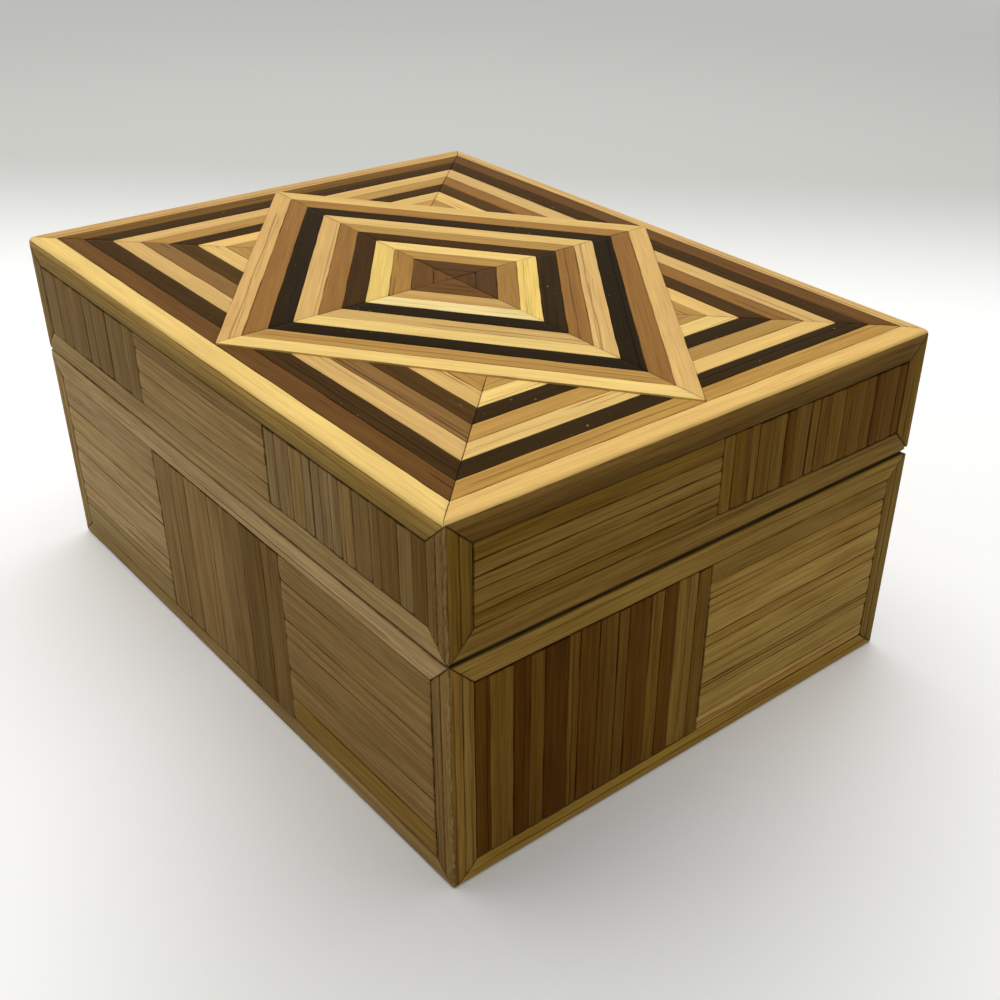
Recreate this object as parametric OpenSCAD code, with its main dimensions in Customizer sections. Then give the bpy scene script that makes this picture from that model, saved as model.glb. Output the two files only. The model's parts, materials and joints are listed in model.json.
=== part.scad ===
// Trinket box covered with split straw: a base and a lid on two small hinges.
// Millimetres. +X runs along the length, the front faces -Y, +Z is up, and the origin is the
// middle of the underside.

/* [Box] */
// Length over the straw on both ends
box_l = 200; // [160:1:320]
// Depth over the straw on the front and the back
box_d = 152.4; // [130:0.1:240]
// Height of the base from the table to its rim
base_h = 63.6; // [40:0.1:120]
// Height of the lid from its rim to the top of the field
lid_h = 34; // [26:0.1:60]
// Gap between the two rims when the lid is shut
seam_gap = 0.4; // [0.3:0.05:0.6]

/* [Carcase] */
// Thickness of the wooden walls
wall_t = 6; // [5:0.1:9]
// Thickness of the bottom panel
bottom_t = 4; // [3:0.1:8]
// Thickness of the lid's top panel
top_t = 4; // [3:0.1:8]
// How far the bottom panel sits into each wall
rabbet_w = 3; // [1.5:0.1:4]

/* [Straw] */
// Thickness of a flattened straw
straw_t = 0.8; // [0.5:0.05:1.2]
// Gap between neighbouring straws
straw_gap = 0.12; // [0.05:0.01:0.25]
// Width of the slope along a straw's long edges
straw_edge = 0.2; // [0.05:0.01:0.3]
// Width of the straws in the diamond's rings
top_straw_w = 5.65; // [4.5:0.05:6.2]
// How far the diamond stands above the field
diamond_rise = 0.4; // [0.1:0.05:1]
// Usual width of the widest side straws, in the base's front and back and the lid's front left
wide_straw_w = 9; // [6:0.1:12]
// Usual width of the side straws in the base's ends and in the rest of the lid's front and back
straw_w = 5.2; // [3:0.1:9]
// Usual width of the narrowest side straws, in the lid's ends
narrow_straw_w = 4.1; // [3:0.1:9]
// How far the edge of a side straw strays from an even division, in straw widths
straw_stray = 0.2; // [0:0.01:0.3]

/* [Borders] */
// Width of the lid's top border at the front and the ends
top_border_w = 6.2; // [4:0.1:9]
// Width of the lid's top border at the back
back_border_w = 4.6; // [4:0.1:9]
// Width of the upright borders at the corners, two straws each
upright_border_w = 6.2; // [4:0.1:9]
// Width of the borders above and below the seam
rim_border_w = 6.6; // [4:0.1:9]
// Width of the border along the lid's upper edge
head_border_w = 6.1; // [4:0.1:9]
// Width of the border along the foot of the base
foot_border_w = 5.4; // [4:0.1:9]
// Height of the lowest straw above the table
foot_gap = 0.2; // [0.1:0.05:1]

/* [Blocks] */
// How far the left joint of the front blocks lies outside an even third
front_joint_shift = 3.5; // [0:0.1:8]
// How far the joint of the end blocks lies behind the middle
end_joint_shift = 1.8; // [0:0.1:8]

/* [Hinges] */
// Distance of each hinge's middle from the end of the box
hinge_end = 40; // [20:1:60]
// Length of a hinge
hinge_l = 25; // [18:0.5:30]
// Radius of a knuckle
knuckle_r = 1.25; // [1:0.05:1.3]
// Gap between neighbouring knuckles
knuckle_gap = 0.2; // [0.1:0.05:0.3]
// Thickness of a leaf
leaf_t = 0.8; // [0.5:0.05:1]
// Wood left between a leaf and the inside of the wall
leaf_margin = 0.6; // [0.4:0.1:1.2]
// Play between a leaf's edges and its recess
leaf_clear = 0.1; // [0.05:0.05:0.3]
// Distance of the pin's axis from the back face
axis_inset = 1.3; // [1.3:0.05:2]
// Radius of the pin
pin_r = 0.6; // [0.4:0.05:0.7]
// Running clearance of the pin in the knuckles
pin_clear = 0.05; // [0.02:0.01:0.08]
// Radius of the pin's end heads
pin_head_r = 1; // [0.8:0.05:1.1]
// Thickness of the pin's end heads
pin_head_t = 0.4; // [0.2:0.05:0.6]
// Play round the knuckles in the wood
mortise_clear = 0.3; // [0.2:0.05:0.5]
// Depth of the bevel along the back edges
bevel_d = 3; // [2.4:0.1:4]
// Angle that the lid opens
lid_open = 100; // [90:1:110]
// How much further the bevels would let the lid turn
stop_lead = 4; // [2:1:8]

/* [Screws] */
// Radius of a screw's shank
screw_r = 0.6; // [0.4:0.05:0.7]
// Radius of a screw's head
screw_head_r = 1.1; // [0.9:0.05:1.3]
// Length of a screw
screw_l = 6; // [4:0.5:10]
// Distance between the screws of one leaf
screw_pitch = 8.5; // [6:0.5:9]
// Width of a screw's slot
slot_w = 0.3; // [0.2:0.05:0.4]
// Depth of a screw's slot
slot_d = 0.25; // [0.1:0.05:0.35]

/* [Hidden] */
$fn = 48;
field_count = 7;
diamond_count = 8;
knuckle_count = 5;
over = 0.5;

// The wooden carcase inside the straw
core_l = box_l - 2 * straw_t;
core_d = box_d - 2 * straw_t;

// Heights: the lid's rim, the middle of the seam, the straws on the lid's top and the panel under them
lid_z = base_h + seam_gap;
seam_z = base_h + seam_gap / 2;
field_z = lid_z + lid_h - straw_t;
panel_z = field_z - top_t;

// The pattern's frame inside the top border, and the diamond that touches it on four sides
frame_x = box_l / 2 - top_border_w;
front_y = -box_d / 2 + top_border_w;
back_y = box_d / 2 - back_border_w;
middle_y = (front_y + back_y) / 2;
frame_y = (back_y - front_y) / 2;
diamond_depth = frame_x * frame_y / norm([frame_x, frame_y]);

// The field's straws are trimmed so that whole straws fill each corner out to the diamond's side
corner_depth = frame_x * frame_y / (frame_x + frame_y);
field_straw_w = corner_depth / field_count;

// The hinges' places and leaves, and the bevel that stops the lid
hinge_x = box_l / 2 - hinge_end;
axis_y = box_d / 2 - axis_inset;
leaf_w = wall_t + straw_t - axis_inset - leaf_margin;
bevel_h = axis_inset * tan((lid_open + stop_lead) / 2);
knuckle_pitch = (hinge_l + knuckle_gap) / knuckle_count;
mortise_r = knuckle_r + mortise_clear;
screw_y = -(leaf_w + mortise_r) / 2;

honey = [0.93, 0.77, 0.45];
tan_brown = [0.71, 0.50, 0.26];
brown = [0.42, 0.26, 0.15];
dark = [0.17, 0.12, 0.10];
side_straw = [0.52, 0.40, 0.19];
pale_wood = [0.80, 0.68, 0.48];
brass = [0.78, 0.62, 0.30];

// Corners of a flat shape, listed anticlockwise, moved inwards by d
function unit(v) = v / norm(v);
function inward(a, b) = let (u = unit(b - a)) [-u.y, u.x];
function inset(corners, d) = [
    for (i = [0 : len(corners) - 1])
        let (
            n = len(corners),
            before = inward(corners[(i + n - 1) % n], corners[i]),
            after = inward(corners[i], corners[(i + 1) % n])
        )
        corners[i] + d * (before + after) / (1 + before * after)
];

// One straw lying on z = 0: its corners are anticlockwise and the first edge runs along it.
// Its long edges are sloped, and what lies inside the shape away is cut off.
module straw(corners, t, away = []) {
    q = inset(corners, straw_gap / 2);
    along = q[1] - q[0];
    across = inward(q[0], q[1]);
    w = max([for (p = q) (p - q[0]) * across]);
    low = t - straw_edge - over;
    intersection() {
        linear_extrude(t + over) difference() {
            polygon(q);
            if (len(away) > 0) polygon(away);
        }
        translate([q[0].x, q[0].y, 0]) rotate(atan2(along.y, along.x)) translate([-over, 0, 0])
            rotate([90, 0, 90]) linear_extrude(norm(along) + 2 * over)
                polygon([[-over, -over], [w + over, -over], [w + over, low],
                         [w - straw_edge, t], [straw_edge, t], [-over, low]]);
    }
}

// Four mitred straws between an outer and an inner outline
module ring(outer, inner, t, away = []) {
    for (i = [0 : 3])
        straw([outer[i], outer[(i + 1) % 4], inner[(i + 1) % 4], inner[i]], t, away);
}

// Carcase
module wall_outline(side) {
    x = core_l / 2;
    y = core_d / 2;
    outer = [[-x, -y], [x, -y], [x, y], [-x, y]];
    inner = inset(outer, wall_t);
    polygon([outer[side], outer[(side + 1) % 4], inner[(side + 1) % 4], inner[side]]);
}

module base_wall(side) {
    color(pale_wood) difference() {
        linear_extrude(base_h) wall_outline(side);
        bottom_space();
        seam_cut();
    }
}

module lid_wall(side) {
    color(pale_wood) difference() {
        translate([0, 0, lid_z]) linear_extrude(panel_z - lid_z) wall_outline(side);
        seam_cut();
    }
}

module bottom_space() {
    inside = wall_t - rabbet_w;
    translate([-core_l / 2 + inside, -core_d / 2 + inside, -over])
        cube([core_l - 2 * inside, core_d - 2 * inside, bottom_t + over]);
}

module base_front_wall() { base_wall(0); }
module base_right_wall() { base_wall(1); }
module base_back_wall() { base_wall(2); }
module base_left_wall() { base_wall(3); }
module lid_front_wall() { lid_wall(0); }
module lid_right_wall() { lid_wall(1); }
module lid_back_wall() { lid_wall(2); }
module lid_left_wall() { lid_wall(3); }

module base_bottom_panel() {
    inside = wall_t - rabbet_w;
    color(pale_wood) translate([-core_l / 2 + inside, -core_d / 2 + inside, 0])
        cube([core_l - 2 * inside, core_d - 2 * inside, bottom_t]);
}

module lid_top_panel() {
    color(pale_wood) translate([-core_l / 2, -core_d / 2, panel_z]) cube([core_l, core_d, top_t]);
}

// Side faces. Side 0 is the front, 1 the right end, 2 the back, 3 the left end. On a face, x runs
// to the right as seen from outside, y is the height and z points out of the box. The front and
// the back cover the edges of the straw on the ends.
function side_w(side) = side % 2 == 0 ? box_l : core_d;
function reach(side) = side % 2 == 0 ? core_d / 2 : core_l / 2;
function low(lid) = lid ? lid_z : foot_gap;
function high(lid) = lid ? field_z : base_h;
function low_border(lid) = lid ? rim_border_w : foot_border_w;
function high_border(lid) = lid ? head_border_w : rim_border_w;
function outer_face(lid, side) = let (x = side_w(side) / 2)
    [[-x, low(lid)], [x, low(lid)], [x, high(lid)], [-x, high(lid)]];
function inner_face(lid, side) = let (
        x = side_w(side) / 2 - upright_border_w,
        y0 = low(lid) + low_border(lid),
        y1 = high(lid) - high_border(lid)
    ) [[-x, y0], [x, y0], [x, y1], [-x, y1]];

module on_side(side) {
    rotate([0, 0, 90 * side]) translate([0, -reach(side), 0]) rotate([90, 0, 0]) children();
}

module side_border(lid, side) {
    outer = outer_face(lid, side);
    inner = inner_face(lid, side);
    between = (outer + inner) / 2;
    on_side(side) for (i = [0 : 3]) {
        j = (i + 1) % 4;
        if (i % 2 == 0) {
            straw([outer[i], outer[j], inner[j], inner[i]], straw_t);
        } else {
            straw([outer[i], outer[j], between[j], between[i]], straw_t);
            straw([between[i], between[j], inner[j], inner[i]], straw_t);
        }
    }
}

module border_straws(lid) {
    color(side_straw) difference() {
        for (side = [0 : 3]) side_border(lid, side);
        seam_cut();
    }
}

module base_border_straws() { border_straws(false); }
module lid_border_straws() { border_straws(true); }

// The joints between the blocks of a side, from its left end to its right end
function joints(lid, side) = let (x = side_w(side) / 2 - upright_border_w)
    side == 0 ? [-x, -x / 3 - front_joint_shift, x / 3, x]
    : side == 1 ? [-x, end_joint_shift, x]
    : side == 2 ? [-x, -x / 3, x / 3, x]
    : [-x, -end_joint_shift, x];

// The usual width of the straws in a block
function usual_w(lid, side, place) =
    side % 2 == 1 ? (lid ? narrow_straw_w : straw_w)
    : lid && side + place > 0 ? straw_w
    : wide_straw_w;

// Where edge i of n straws falls between two ends
function edge_at(from, to, i, n, seed) =
    from + (to - from) * (i + (i > 0 && i < n ? straw_stray * sin(137 * i + seed) : 0)) / n;

// One block of straws. The blocks change direction all the way round, and from base to lid.
module block(lid, side, place) {
    first = [0, 3, 5, 8][side];
    upright = (first + place + (lid ? 0 : 1)) % 2 == 0;
    seed = 41 * (first + place) + (lid ? 17 : 0);
    face = inner_face(lid, side);
    x0 = joints(lid, side)[place];
    x1 = joints(lid, side)[place + 1];
    y0 = face[0].y;
    y1 = face[2].y;
    usual = usual_w(lid, side, place);
    n = max(1, round((upright ? x1 - x0 : y1 - y0) / usual));
    color(side_straw) on_side(side) for (i = [0 : n - 1]) {
        if (upright) {
            a = edge_at(x0, x1, i, n, seed);
            b = edge_at(x0, x1, i + 1, n, seed);
            straw([[b, y0], [b, y1], [a, y1], [a, y0]], straw_t);
        } else {
            a = edge_at(y0, y1, i, n, seed);
            b = edge_at(y0, y1, i + 1, n, seed);
            straw([[x0, a], [x1, a], [x1, b], [x0, b]], straw_t);
        }
    }
}

module base_front_left_block() { block(false, 0, 0); }
module base_front_middle_block() { block(false, 0, 1); }
module base_front_right_block() { block(false, 0, 2); }
module base_right_front_block() { block(false, 1, 0); }
module base_right_back_block() { block(false, 1, 1); }
module base_back_right_block() { block(false, 2, 0); }
module base_back_middle_block() { block(false, 2, 1); }
module base_back_left_block() { block(false, 2, 2); }
module base_left_back_block() { block(false, 3, 0); }
module base_left_front_block() { block(false, 3, 1); }
module lid_front_left_block() { block(true, 0, 0); }
module lid_front_middle_block() { block(true, 0, 1); }
module lid_front_right_block() { block(true, 0, 2); }
module lid_right_front_block() { block(true, 1, 0); }
module lid_right_back_block() { block(true, 1, 1); }
module lid_back_right_block() { block(true, 2, 0); }
module lid_back_middle_block() { block(true, 2, 1); }
module lid_back_left_block() { block(true, 2, 2); }
module lid_left_back_block() { block(true, 3, 0); }
module lid_left_front_block() { block(true, 3, 1); }

// The lid's top: the border, the field's rings inside it and the diamond that cuts them off
function field(d) = [
    [-frame_x + d, front_y + d], [frame_x - d, front_y + d],
    [frame_x - d, back_y - d], [-frame_x + d, back_y - d]
];
function diamond(d) = let (s = 1 - d / diamond_depth) [
    [s * frame_x, middle_y], [0, middle_y + s * frame_y],
    [-s * frame_x, middle_y], [0, middle_y - s * frame_y]
];

module top_border() {
    x = box_l / 2;
    y = box_d / 2;
    color(honey) translate([0, 0, field_z])
        ring([[-x, -y], [x, -y], [x, y], [-x, y]], field(0), straw_t);
}

module field_ring(k) {
    translate([0, 0, field_z])
        ring(field((k - 1) * field_straw_w), field(k * field_straw_w), straw_t, diamond(-straw_gap / 2));
}

module field_brown_ring() { color(brown) field_ring(1); }
module field_dark_ring() { color(dark) field_ring(2); }
module field_light_ring() { color(honey) field_ring(3); }
module field_tan_ring() { color(tan_brown) field_ring(4); }
module field_inner_dark_ring() { color(dark) field_ring(5); }
module field_inner_light_ring() { color(honey) field_ring(6); }

module field_corner_pieces() { color(tan_brown) field_ring(field_count); }

module diamond_ring(k) {
    translate([0, 0, field_z])
        ring(diamond((k - 1) * top_straw_w), diamond(k * top_straw_w), straw_t + diamond_rise);
}

module diamond_light_ring() { color(honey) diamond_ring(1); }
module diamond_tan_ring() { color(tan_brown) diamond_ring(2); }
module diamond_dark_ring() { color(dark) diamond_ring(3); }
module diamond_second_light_ring() { color(honey) diamond_ring(4); }
module diamond_second_tan_ring() { color(tan_brown) diamond_ring(5); }
module diamond_second_dark_ring() { color(dark) diamond_ring(6); }
module diamond_yellow_ring() { color(honey) diamond_ring(7); }
module diamond_inner_tan_ring() { color(tan_brown) diamond_ring(8); }

// The brown centre: one more ring and four triangles that meet in the middle
module diamond_centre() {
    start = diamond_count * top_straw_w;
    outer = diamond(start);
    inner = diamond((start + diamond_depth) / 2);
    t = straw_t + diamond_rise;
    color(brown) translate([0, 0, field_z]) {
        ring(outer, inner, t);
        for (i = [0 : 3]) straw([inner[i], inner[(i + 1) % 4], [0, middle_y]], t);
    }
}

// Hinges. Each is drawn round the middle of its own axis, the lower leaf as it lies.
module at_hinge(side) {
    translate([side * hinge_x, axis_y, seam_z]) children();
}

module barrel(r, x0, x1) {
    translate([x0, 0, 0]) rotate([0, 90, 0]) cylinder(r = r, h = x1 - x0);
}

function knuckle_x(i) = -hinge_l / 2 + i * knuckle_pitch;

// The lower leaf carries the even knuckles, the upper leaf the odd ones
module leaf(odd) {
    difference() {
        union() {
            translate([-hinge_l / 2, -leaf_w, -seam_gap / 2 - leaf_t]) cube([hinge_l, leaf_w, leaf_t]);
            for (i = [odd : 2 : knuckle_count - 1])
                barrel(knuckle_r, knuckle_x(i), knuckle_x(i + 1) - knuckle_gap);
        }
        for (i = [1 - odd : 2 : knuckle_count - 1])
            barrel(mortise_r, knuckle_x(i) - knuckle_gap, knuckle_x(i + 1));
        barrel(pin_r + pin_clear, -hinge_l, hinge_l);
        leaf_screws() screw_body();
    }
}

module lower_leaf(side) { color(brass) at_hinge(side) leaf(0); }
module upper_leaf(side) { color(brass) at_hinge(side) mirror([0, 0, 1]) leaf(1); }

module hinge_pin(side) {
    end = hinge_l / 2;
    color(brass) at_hinge(side) {
        barrel(pin_r, -end - pin_head_t / 2, end + pin_head_t / 2);
        barrel(pin_head_r, -end - pin_head_t, -end);
        barrel(pin_head_r, end, end + pin_head_t);
    }
}

module left_hinge_lower_leaf() { lower_leaf(-1); }
module left_hinge_upper_leaf() { upper_leaf(-1); }
module left_hinge_pin() { hinge_pin(-1); }
module right_hinge_lower_leaf() { lower_leaf(1); }
module right_hinge_upper_leaf() { upper_leaf(1); }
module right_hinge_pin() { hinge_pin(1); }

// Places what follows at the screws of a lower leaf, with z = 0 on the leaf's face
module leaf_screws() {
    for (i = [-1 : 1]) translate([i * screw_pitch, screw_y, -seam_gap / 2]) children();
}

module screw_body() {
    head = screw_head_r - screw_r;
    rotate_extrude() polygon([[0, -screw_l], [screw_r, -screw_l + screw_r], [screw_r, -head],
                              [screw_head_r, 0], [0, 0]]);
}

module screw() {
    difference() {
        screw_body();
        translate([-screw_head_r - over, -slot_w / 2, -slot_d])
            cube([2 * (screw_head_r + over), slot_w, slot_d + over]);
    }
}

module base_hinge_screws() {
    color(brass) for (side = [-1, 1]) at_hinge(side) leaf_screws() screw();
}

module lid_hinge_screws() {
    color(brass) for (side = [-1, 1]) at_hinge(side) mirror([0, 0, 1]) leaf_screws() screw();
}

// What is cut out of the wood and the straw at the back of the seam: the two bevels, and for
// each hinge the round mortise, the recess of both leaves and the screw holes
module seam_cut() {
    y0 = box_d / 2 - bevel_d;
    y1 = box_d / 2 + over;
    h0 = seam_gap / 2;
    h1 = h0 + (bevel_h - h0) * (y1 - y0) / bevel_d;
    translate([-box_l, 0, seam_z]) rotate([90, 0, 90]) linear_extrude(2 * box_l)
        polygon([[y0, -h0], [y1, -h1], [y1, h1], [y0, h0]]);
    for (side = [-1, 1]) at_hinge(side) {
        hinge_cut();
        mirror([0, 0, 1]) hinge_cut();
    }
}

module hinge_cut() {
    end = hinge_l / 2 + pin_head_t + mortise_clear;
    barrel(mortise_r, -end, end);
    translate([-hinge_l / 2 - leaf_clear, -leaf_w - leaf_clear, -seam_gap / 2 - leaf_t])
        cube([hinge_l + 2 * leaf_clear, leaf_w + leaf_clear, seam_gap / 2 + leaf_t]);
    leaf_screws() screw_body();
}

base_front_wall();
base_back_wall();
base_left_wall();
base_right_wall();
base_bottom_panel();
lid_front_wall();
lid_back_wall();
lid_left_wall();
lid_right_wall();
lid_top_panel();
base_border_straws();
base_front_left_block();
base_front_middle_block();
base_front_right_block();
base_right_front_block();
base_right_back_block();
base_back_right_block();
base_back_middle_block();
base_back_left_block();
base_left_back_block();
base_left_front_block();
lid_border_straws();
lid_front_left_block();
lid_front_middle_block();
lid_front_right_block();
lid_right_front_block();
lid_right_back_block();
lid_back_right_block();
lid_back_middle_block();
lid_back_left_block();
lid_left_back_block();
lid_left_front_block();
top_border();
field_brown_ring();
field_dark_ring();
field_light_ring();
field_tan_ring();
field_inner_dark_ring();
field_inner_light_ring();
field_corner_pieces();
diamond_light_ring();
diamond_tan_ring();
diamond_dark_ring();
diamond_second_light_ring();
diamond_second_tan_ring();
diamond_second_dark_ring();
diamond_yellow_ring();
diamond_inner_tan_ring();
diamond_centre();
left_hinge_lower_leaf();
left_hinge_upper_leaf();
left_hinge_pin();
right_hinge_lower_leaf();
right_hinge_upper_leaf();
right_hinge_pin();
base_hinge_screws();
lid_hinge_screws();
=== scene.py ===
import json
import math
import random

import bmesh
import bpy
import numpy as np
from mathutils import Matrix, Vector

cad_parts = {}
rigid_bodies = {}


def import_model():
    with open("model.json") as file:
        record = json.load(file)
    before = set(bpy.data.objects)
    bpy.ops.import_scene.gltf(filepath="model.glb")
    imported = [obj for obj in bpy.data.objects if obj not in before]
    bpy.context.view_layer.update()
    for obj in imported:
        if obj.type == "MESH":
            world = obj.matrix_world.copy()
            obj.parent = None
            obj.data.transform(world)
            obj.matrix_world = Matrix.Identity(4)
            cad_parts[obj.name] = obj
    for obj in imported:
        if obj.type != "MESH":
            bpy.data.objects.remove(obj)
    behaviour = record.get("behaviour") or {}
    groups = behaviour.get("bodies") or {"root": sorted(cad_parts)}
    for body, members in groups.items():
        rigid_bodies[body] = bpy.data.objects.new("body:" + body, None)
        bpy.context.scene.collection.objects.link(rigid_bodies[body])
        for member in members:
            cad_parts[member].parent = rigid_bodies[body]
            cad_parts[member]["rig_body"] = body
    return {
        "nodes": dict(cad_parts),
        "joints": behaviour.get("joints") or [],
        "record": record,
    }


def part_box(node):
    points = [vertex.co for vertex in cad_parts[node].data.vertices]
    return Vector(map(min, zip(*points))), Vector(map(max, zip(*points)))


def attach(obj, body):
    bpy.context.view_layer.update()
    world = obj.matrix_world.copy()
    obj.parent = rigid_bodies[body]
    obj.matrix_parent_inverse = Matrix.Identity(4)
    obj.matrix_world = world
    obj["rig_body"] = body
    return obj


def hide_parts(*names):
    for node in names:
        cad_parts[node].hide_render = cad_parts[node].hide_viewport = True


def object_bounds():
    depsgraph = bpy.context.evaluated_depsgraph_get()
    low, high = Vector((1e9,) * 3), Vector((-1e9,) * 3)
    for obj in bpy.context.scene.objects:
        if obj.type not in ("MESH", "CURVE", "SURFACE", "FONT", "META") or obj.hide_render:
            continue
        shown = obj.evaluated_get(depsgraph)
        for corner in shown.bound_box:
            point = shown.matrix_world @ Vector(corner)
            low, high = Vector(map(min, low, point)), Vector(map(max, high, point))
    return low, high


# The inlaid trinket box, in metres and in the frame of its CAD model. Each straw is rebuilt as a strip over
# its own CAD solid, and the wooden carcase and the hinges keep theirs

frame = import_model()
cad_low, cad_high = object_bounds()

MM = 0.001
UP = np.array((0.0, 0.0, 1.0))

# Places that the CAD model gives, in metres
SLOTS = {part["node"]: part["material_slot"] for part in frame["record"]["subparts"]}
SEAM_Z = frame["joints"][0]["pos_m"][2]
TOP_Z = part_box("top_border")[1].z
PANEL_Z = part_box("lid_top_panel")[1].z
WALL_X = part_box("base_front_wall")[1].x
WALL_Y = -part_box("base_front_wall")[0].y
FIELD_LOW, FIELD_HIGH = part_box("field_brown_ring")
FIELD_MIDDLE_Y = (FIELD_LOW.y + FIELD_HIGH.y) / 2
DIAMOND_LOW, DIAMOND_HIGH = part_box("diamond_light_ring")
DIAMOND_MIDDLE_Y = (DIAMOND_LOW.y + DIAMOND_HIGH.y) / 2

# Camera: the photograph's view of the box, angles in degrees, lengths in metres
PHOTO_PX = 1000
FOCAL_PX = 1292
MIDDLE_PX = (560, 560)
SENSOR_MM = 36
CAMERA_AZIMUTH = 48.65
CAMERA_ELEVATION = 33.0
CAMERA_ROLL = 1.61
CAMERA_DISTANCE = 0.3221
CAMERA_TARGET = (0.0663, -0.0170, 0.049)
CAMERA_CLIP = 0.01

# Straw: how its outline is read from the CAD solids
WELD = 0.01 * MM  # corners nearer to each other are one
HAIR = WELD / 10  # lengths that differ by less are equal
CROWDED = 0.3 * MM  # an outline keeps no corners nearer to each other
SLOPED = 0.05 * MM  # an edge whose crest stands back by more is a long side
OPPOSITE = -0.99  # the cosine between two edges that run in opposite directions
UPRIGHT = 0.5  # the sine of the slope from which a straw counts as upright
RIM_REACH = 10 * MM  # above the seam, where the lid's lower border strips lie
TIP = 0.25 * MM  # the shortest row of a pointed straw

# Straw: the points along it and across it
STATION = 3 * MM  # between two points along it
MIDDLE_ROWS = 5
ROLL_STEPS = (0, 0.08, 0.25, 0.55, 1)  # shares of a long edge's roll, from the edge inwards
END_STEPS = ((0, 1), (0.3, 0.3), (1, 0))  # shares of an end's roll, how far in and how much lower
FOOT_SKIN = 0.04 * MM  # the least thickness
WAVE_PITCH = 6 * MM  # between the knots of a wavy edge

# Straw: how far the edges are rounded
BOX_ROLL = 1.7 * MM
ARRIS_ROLL = 1.5 * MM
CORNER_ROLL = 0.8 * MM
SEAM_ROLL = 0.4 * MM
POST_ROLL = 0.3 * MM
END_ROLL = 0.12 * MM

# Straw: edges that lean, in the CAD model between two straws and on the bevel behind the hinges, and the
# notch between those bevels
BEVEL_LEAN = 0.24 * MM
HINGE_LEAN = 0.30 * MM
NOTCH_HALF = 1.67 * MM
NOTCH_SLOPE = 0.49

# Wear and painted highlight: how near an edge lies to the face, the seam, the floor or the lid's top to
# take that edge's mark
BY_FACE = 0.3 * MM
BY_SEAM = 0.6 * MM
BY_FLOOR = 0.5 * MM
BY_TOP = 2 * MM

# Wear and painted highlight: how far in they fade, and how strong they are, above 0 paler and below 0
# darker. Hands rub the arrises, the corners, the long seams and the feet pale; on the posts and the upper
# edges by the lid's top the paleness is a painted highlight
WEAR_AND_HIGHLIGHT_REACH = 1.2 * MM
WEAR_AND_HIGHLIGHT = {"end_arris": 0.4, "long_arris": 0.6, "long_seam": 0.7, "end_seam": -1, "corner": 1.3, "foot": 0.6,
        "post": 0.5, "head": 0.3}

# Luck: where a split may lie as a share of the width, how dark it may be, and a split that isn't there, in
# millimetres, then the range of the grain's seeds, and how much of the spread of a tone is warmth
SPLIT_PLACES = (0.15, 0.85)
SPLIT_DARKNESS = (0.6, 1)
NOWHERE = -20
SEEDS = 50
WARMTH = 0.35

# Head strips: the painted shade at the lower edge, how much paler the painted highlight makes the upper
# edge, and how that rises
HEAD_SHADED_FOOT = 0.70
HEAD_HIGHLIGHT_GAIN = 0.65
HEAD_HIGHLIGHT_RISE = 1.5


def srgb(red, green, blue):
    """A colour as a screen shows it, 0 to 255, as the linear colour that a shader takes."""
    def linear(value):
        """One of the three parts of a colour."""
        share = value / 255
        return share / 12.92 if share <= 0.04045 else ((share + 0.055) / 1.055) ** 2.4
    return (linear(red), linear(green), linear(blue), 1)


# Tones by name: first those of the lid's top, then those of the sides, and two of bare wood. The tones of
# the sides are somewhat darker than the straw is, as painted shade on the sides
TONES = {
    "cream": srgb(250, 225, 152),
    "lemon": srgb(238, 202, 106),
    "butter": srgb(245, 208, 122),
    "honey": srgb(231, 189, 108),
    "wheat": srgb(218, 175, 102),
    "sand": srgb(204, 161, 91),
    "amber": srgb(187, 143, 71),
    "caramel": srgb(166, 121, 54),
    "hazel": srgb(147, 102, 42),
    "nut": srgb(141, 103, 49),
    "chestnut": srgb(109, 72, 28),
    "walnut": srgb(88, 57, 18),
    "cocoa": srgb(82, 57, 25),
    "coffee": srgb(70, 48, 20),
    "soot": srgb(56, 40, 18),
    "ink": srgb(42, 30, 13),
    "barley": srgb(188, 157, 108),
    "flax": srgb(171, 140, 87),
    "stubble": srgb(166, 136, 86),
    "husk": srgb(174, 147, 97),
    "drab": srgb(152, 121, 71),
    "ash": srgb(149, 122, 80),
    "tobacco": srgb(137, 108, 61),
    "clay": srgb(121, 91, 42),
    "fawn": srgb(133, 102, 53),
    "hay": srgb(184, 149, 77),
    "gold": srgb(169, 134, 66),
    "chaff": srgb(173, 135, 57),
    "reed": srgb(161, 128, 61),
    "olive": srgb(151, 117, 54),
    "fern": srgb(145, 112, 52),
    "moss": srgb(134, 101, 38),
    "umber": srgb(127, 93, 34),
    "russet": srgb(119, 83, 27),
    "bark": srgb(104, 67, 15),
    "peat": srgb(91, 55, 9),
    "maple": srgb(234, 205, 150),
    "birch": srgb(224, 190, 130),
}

# Tones of the lid's rings on their front, right, back and left sides. How one side differs from another is
# partly painted sheen, as strips that run one way catch more light than those that run the other
FIELD_TONES_AND_SHEEN = {
    "top_border": ("butter", "honey", "wheat", "sand"),
    "field_brown_ring": ("chestnut", "amber", "chestnut", "russet"),
    "field_dark_ring": ("coffee", "soot", "coffee", "coffee"),
    "field_light_ring": ("wheat", "honey", "wheat", "wheat"),
    "field_tan_ring": ("nut", "amber", "hazel", "amber"),
    "field_inner_dark_ring": ("cocoa", "soot", "cocoa", "coffee"),
    "field_inner_light_ring": ("honey", "butter", "honey", "honey"),
    "field_corner_pieces": ("amber", "amber", "amber", "amber"),
}

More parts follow.
